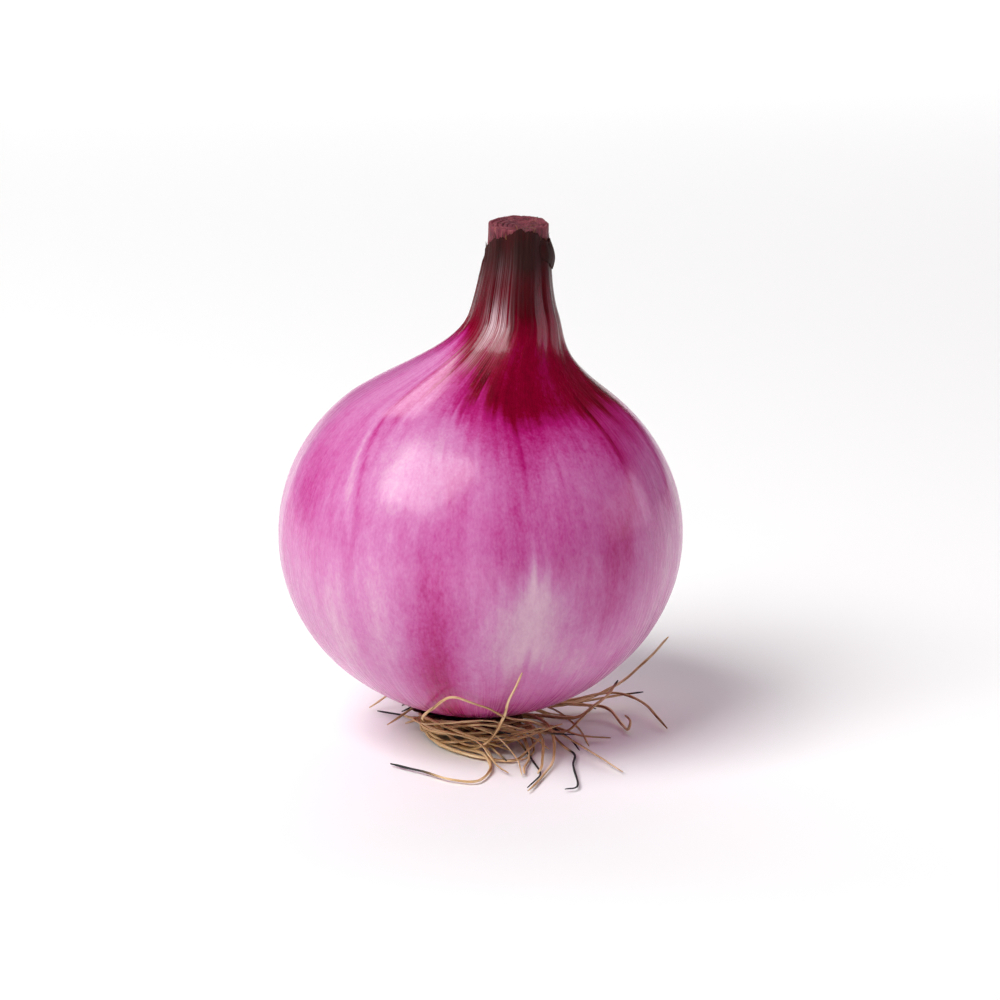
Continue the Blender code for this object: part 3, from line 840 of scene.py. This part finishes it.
# The share of its length from which each front root is black, or NEVER, and the points it bends through
# in millimetres.
FRONT_ROOTS = (
    # straight up against the front of the bulb's foot
    (NEVER, ((-6, -10, 1.5), (-2, -17, 1), (2, -20, 4), (4.5, -24.5, 10), (5.5, -30.5, 15.5),
             (8, -36, 22.5))),
    # loops on the floor at the front left
    (0.85, ((-11, -5, 2.5), (-9, -11, 1.5), (-4, -16, 1), (0.5, -20, 1), (2, -28, 0.7), (-0.5, -35, 0.7),
            (-5.5, -34.5, 0.7), (-11.5, -29.5, 0.7), (-17.5, -25, 0.7))),
    (NEVER, ((-11, -4, 2), (-9.5, -11, 1), (-5, -17.5, 0.8), (1, -22, 0.7), (6.5, -23, 0.7), (9, -19, 1),
             (12, -13, 2))),
    (0.95, ((-12, -1, 2.5), (-6, -8, 3.5), (-1, -13, 3), (2, -17, 1.6), (5, -23.5, 0.8))),
    (NEVER, ((-8, -9, 3), (-6, -15, 5), (-1, -20, 7), (4, -19, 6.5), (9, -13, 3.5))),
    # stubs and a thin tip at the left
    (0.6, ((-13, 1, 1.5), (-16, 5, 0.8), (-21, 7.5, 0.8))),
    (0.7, ((-12, 5, 3), (-16, 5, 1.5))),
    (0.5, ((-11, 7, 4), (-16, 6, 2.5))),
    (NEVER, ((-12, -3, 2.5), (-15, -4, 2))),
    # towards the front
    (NEVER, ((8, -3, 4), (13, -10, 4), (14.5, -18, 2.5), (13.5, -27, 0.8), (9, -41, 0.7))),
    (NEVER, ((4, -8, 4.5), (9, -11, 4.5), (12, -18, 3.5), (12, -26, 1.2), (11, -31, 0.7))),
    (0.45, ((5, -9, 3), (8, -16, 1.5), (10, -22, 0.7), (11.5, -31, 0.7), (9, -39, 0.7))),
    (NEVER, ((8, -12, 2), (9.5, -20, 0.8), (8.5, -27, 0.7), (8.5, -31, 0.7))),
    # towards the front right
    (NEVER, ((-8, -8, 3.5), (-2, -12, 5.5), (4, -12, 5.5), (10, -11, 4.5), (17, -13, 2),
             (27.5, -30, 0.7))),
    (0.4, ((12, -8, 3), (16.5, -16, 1), (18.5, -20, 0.7), (18, -26, 0.7), (18.5, -38, 0.7),
           (16, -40, 0.7))),
    (0.4, ((13, -7, 2.5), (17.5, -10, 1), (19.5, -17, 0.7))),
    (NEVER, ((12, -9, 2), (17, -9, 2), (20, -9, 4.5), (21.5, -9, 6))),
    (NEVER, ((14, -6, 2), (20, -9, 1), (26, -9.5, 0.7))),
    # towards the back right
    (0.93, ((12, -2, 3), (19, -2, 2.5), (23, 1, 4), (26, 5, 5), (28, 8, 7))),
    (NEVER, ((8, 3, 4), (15, 4, 3), (22, 9, 3), (29, 15, 4.5), (35, 22, 7.5), (39.5, 29, 10))),
    (NEVER, ((10, 3, 4), (19, 8, 3), (27, 11, 3.5), (33, 8, 2.5), (37.5, -4, 0.8))),
    (0.88, ((12, 6, 3.5), (21, 10, 2), (28, 12, 2.5), (33.5, 13, 3))),
    (NEVER, ((14, 3, 3.5), (22, 6, 2.5), (26, 5, 2), (28.5, -1, 0.7), (29.5, -5, 1), (30, -4, 2.4),
             (29, -3, 3.3))),
)


def kept_clear(point):
    """The point moved out of the bulb's way and no lower than a strand lying on the floor."""
    middle = Vector((0, 0, WIDEST_HEIGHT))
    arm = point - middle
    side = BODY_RADIUS + ROOT_CLEARANCE
    reach = BODY_DEPTH + ROOT_CLEARANCE
    depth = math.sqrt((arm.x / side) ** 2 + (arm.y / side) ** 2 + (arm.z / reach) ** 2)
    if depth < 1:
        point = middle + arm / depth
    point.z = max(point.z, ROOT_LOWEST)
    return point


def bent_path(bends):
    """A smooth path from inside the root plate through the bends, given in millimetres."""
    first = Vector(bends[0])
    inside = Vector((first.x, first.y, 0)).normalized() * ROOT_START_REACH
    inside.z = ROOT_START_HEIGHT
    knots = [inside] + [Vector(bend) * MM for bend in bends]
    # one knot more at each end, straight on, gives the first and last stretch their direction
    knots = [2 * knots[0] - knots[1]] + knots + [2 * knots[-1] - knots[-2]]
    route = []
    # a smooth curve that passes through every knot
    for before, start, end, after in zip(knots, knots[1:], knots[2:], knots[3:]):
        for step in range(BEND_STEPS):
            along = step / BEND_STEPS
            point = 2 * start + (end - before) * along
            point += (2 * before - 5 * start + 4 * end - after) * along ** 2
            point += (3 * start - before - 3 * end + after) * along ** 3
            route.append(kept_clear(point * 0.5))
    route.append(kept_clear(knots[-2]))
    return route


def polar(bearing, reach, height):
    """A place round the axis; here the bearing counts from the right, towards the back."""
    angle = math.radians(bearing)
    return (reach * math.cos(angle), reach * math.sin(angle), height)


def nest_bends(draw):
    """A root that leaves the plate at the left and sweeps round its front, close in."""
    bearing = draw.uniform(170, 215)
    reach = draw.uniform(10, 13)
    bends = [polar(bearing, reach, draw.uniform(2, 4))]
    for _ in range(draw.choice((2, 3, 3))):
        bearing += draw.uniform(28, 44)
        reach += draw.uniform(0.5, 4.5)
        bends.append(polar(bearing, reach, draw.uniform(0.8, 6)))
    return bends


def long_bends(draw, bearing):
    """A root that runs out at this bearing and wanders to one side."""
    swing = draw.choice((-1, 1)) * draw.uniform(8, 26)
    reach = draw.uniform(10, 13)
    bends = [polar(bearing, reach, draw.uniform(2, 4))]
    for _ in range(draw.choice((1, 2, 3))):
        bearing += swing
        reach += draw.uniform(3.5, 7.5)
        bends.append(polar(bearing, reach, draw.choice((0.7, 0.7, draw.uniform(1, 5)))))
    return bends


def short_bends(draw, bearing):
    """A short root that stops where it meets the floor near the plate."""
    reach = draw.uniform(10.5, 14.5)
    return [polar(bearing + draw.uniform(-12, 12), reach, draw.uniform(0.7, 3))]


draw = random.Random(47)
grain_draw = random.Random(5)
root_routes = [(black_from, bent_path(bends)) for black_from, bends in FRONT_ROOTS]
chance_bends = [nest_bends(draw) for _ in range(NEST_COUNT)]
chance_bends += [long_bends(draw, bearing) for bearing in range(28, 160, 10)]
chance_bends += [short_bends(draw, bearing) for bearing in range(6, 366, 24)]
for bends in chance_bends:
    # one in five has a black tip
    black_from = grain_draw.choice((NEVER, NEVER, NEVER, NEVER, 0.9))
    root_routes.append((black_from, bent_path(bends)))
strands = []
for black_from, route in root_routes:
    # those black along most of their length are the most withered
    girth = grain_draw.uniform(0.78, 1.04) * (0.68 if black_from < MOSTLY_BLACK else 1)
    strands.append(grow_strand("roots", route, ROOT_RADIUS * girth, black_from, ROOT_SIDES, grain_draw))
roots = join_strands(strands)
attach(roots, "root")
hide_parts("root_tuft")

root_material, tree, shader = new_material("dry_root")
place = put(tree, "ShaderNodeAttribute", attribute_name="around").outputs["Vector"]
burnt = put(tree, "ShaderNodeAttribute", attribute_name="flush").outputs["Fac"]
lengthwise = streaks(tree, place, across=2.2, along=0.9)
patches = streaks(tree, place, across=0.5, along=1.6)
tone = add_weighted(tree, lengthwise, patches, weight=1.3)
root_colour = colour_ramp(tree, tone, (
    (0.26, (0.24, 0.10, 0.035)),
    (0.40, (0.56, 0.32, 0.13)),
    (0.54, (0.82, 0.56, 0.28)),
    (0.74, (0.93, 0.72, 0.44)),
))
blackened = mixed_colour(tree, burnt, root_colour, (0.016, 0.018, 0.018))
relief = put(tree, "ShaderNodeBump", {"Height": lengthwise, "Strength": 0.7, "Distance": 0.0002})
tree.links.new(blackened, shader.inputs["Base Color"])
tree.links.new(relief.outputs["Normal"], shader.inputs["Normal"])
shader.inputs["Roughness"].default_value = 0.62
roots.data.materials.append(root_material)

# Rootlets.
# Hair-fine dry side roots tangled among the others, mostly in the nest at the front of the plate.
ROOTLET_COUNT = 12
ROOTLET_RADII = (0.22, 0.34)
ROOTLET_SIDES = 6

# The points that each rootlet of the front bends through, in millimetres.
FRONT_ROOTLETS = (
    # the first arches up over the front of the bulb's foot
    ((-10.5, -13.5, 5.5), (-10.5, -21, 10), (-6, -30.5, 16), (0, -29, 14), (5, -24.5, 10), (10, -15, 6),
     (13, -9, 3)),
    # the others stay lower, in the nest
    ((-13, -8, 4.5), (-11, -15, 5.5), (-6, -19, 7), (-1.5, -21, 8.3), (2, -21, 8.2), (7.5, -18, 5.5),
     (13, -14, 3)),
    ((-12, -9, 5), (-10, -17, 5), (-3, -21, 5), (0, -23, 4), (3.2, -28, 1.4), (5.4, -31, 0.8)),
    ((-12, -6, 4), (-8, -15, 6), (-2, -19, 7.2), (5, -18, 5.5), (10, -17, 3.5), (13.5, -17, 1)),
    ((-13, -7, 4), (-9, -16, 5), (-3, -20, 4.5), (1, -22, 3), (3, -25, 1)),
    ((-9, -9, 6), (-4, -17, 6.5), (3, -21, 5), (7, -26, 2), (8, -32, 0.7)),
)
hair_draw = random.Random(21)
rootlet_routes = [bent_path(bends) for bends in FRONT_ROOTLETS]
for _ in range(ROOTLET_COUNT):
    # one in five joins the nest, two in five are short and the rest long
    kind = hair_draw.random()
    if kind < 0.2:
        bends = nest_bends(hair_draw)
    elif kind < 0.6:
        bends = short_bends(hair_draw, hair_draw.uniform(0, 360))
    else:
        bends = long_bends(hair_draw, hair_draw.uniform(-50, 100))
    rootlet_routes.append(bent_path(bends))
strands = []
for route in rootlet_routes:
    radius = hair_draw.uniform(*ROOTLET_RADII) * MM
    strands.append(grow_strand("rootlets", route, radius, NEVER, ROOTLET_SIDES, hair_draw))
rootlets = join_strands(strands)
rootlets.data.materials.append(root_material)
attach(rootlets, "root")

# Floor, light and camera.
# A pale floor and white walls, lit by a wide panel over the far part, a large softbox at the front left,
# a small one high at the back left and a weak one low on the right. The camera looks down a little.
FLOOR_REACH = 4.0
stage = bpy.context.scene
stage.view_settings.view_transform = "Standard"
world = bpy.data.worlds.new("studio")
world.use_nodes = True
sky = world.node_tree
direction = put(sky, "ShaderNodeTexCoord").outputs["Generated"]
toward = put(sky, "ShaderNodeSeparateXYZ", {"Vector": direction})
low = graded(sky, toward.outputs["Z"], start=0.02, end=0.45, first=1.0, last=0.12, soft=True)
behind = graded(sky, toward.outputs["Y"], start=-0.5, end=0.4, first=0.3, last=0.85, soft=True)
walls = put(sky, "ShaderNodeMath", {0: low, 1: behind}, operation="MULTIPLY").outputs[0]
sky.links.new(walls, sky.nodes["Background"].inputs["Strength"])
stage.world = world

mesh = bmesh.new()
bmesh.ops.create_grid(mesh, x_segments=2, y_segments=2, size=FLOOR_REACH)
floor = finish_mesh(mesh, "floor")
floor_material, tree, shader = new_material("pale_floor")
shader.inputs["Base Color"].default_value = (0.93, 0.925, 0.925, 1)
shader.inputs["Roughness"].default_value = 0.8
shader.inputs["Specular IOR Level"].default_value = 0.1
floor.data.materials.append(floor_material)


def softbox(name, place, target, width, height, power):
    light = bpy.data.lights.new(name, "AREA")
    light.shape = "RECTANGLE"
    light.size = width
    light.size_y = height
    light.energy = power
    lamp = bpy.data.objects.new(name, light)
    lamp.location = place
    lamp.rotation_euler = (Vector(target) - Vector(place)).to_track_quat("-Z", "Y").to_euler()
    bpy.context.collection.objects.link(lamp)
    return lamp


ceiling = softbox("ceiling", (0, 3.05, 1.5), (0, 3.05, 0), width=5.2, height=3.7, power=147)
ceiling.visible_glossy = False
softbox("key", (-0.62, -0.54, 1.0), (0, 0, 0.045), width=0.85, height=0.85, power=20)
# this one only puts a gleam on the shoulder and the neck
overhead = softbox("overhead", (-0.40, 0.66, 1.02), (0, 0, 0.07), width=0.40, height=0.40, power=3.2)
overhead.visible_diffuse = False
side = softbox("side", (1.3, 0.15, 0.3), (0, 0, 0.05), width=1.0, height=0.5, power=3.6)
side.data.color = (1.0, 0.78, 0.88)

IMAGE_SIDE = 1000
PIXELS_PER_RADIAN = 3270
SENSOR = 36.0
CAMERA_DISTANCE = 0.65
CAMERA_RISE = math.radians(15)
BULB_MIDDLE_X = 480
BULB_MIDDLE_Y = 530
forward = Vector((0, math.cos(CAMERA_RISE), -math.sin(CAMERA_RISE)))
up = Vector((0, math.sin(CAMERA_RISE), math.cos(CAMERA_RISE)))
middle = Vector((0, 0, WIDEST_HEIGHT))
per_pixel = CAMERA_DISTANCE / PIXELS_PER_RADIAN
aim = middle + Vector((1, 0, 0)) * (IMAGE_SIDE / 2 - BULB_MIDDLE_X) * per_pixel
aim += up * (BULB_MIDDLE_Y - IMAGE_SIDE / 2) * per_pixel
camera = bpy.data.objects.new("camera", bpy.data.cameras.new("camera"))
camera.data.lens = PIXELS_PER_RADIAN / IMAGE_SIDE * SENSOR
camera.data.sensor_width = SENSOR
camera.data.clip_start = 0.01
camera.location = middle - forward * CAMERA_DISTANCE
camera.rotation_euler = (aim - camera.location).to_track_quat("-Z", "Y").to_euler()
bpy.context.collection.objects.link(camera)
stage.camera = camera
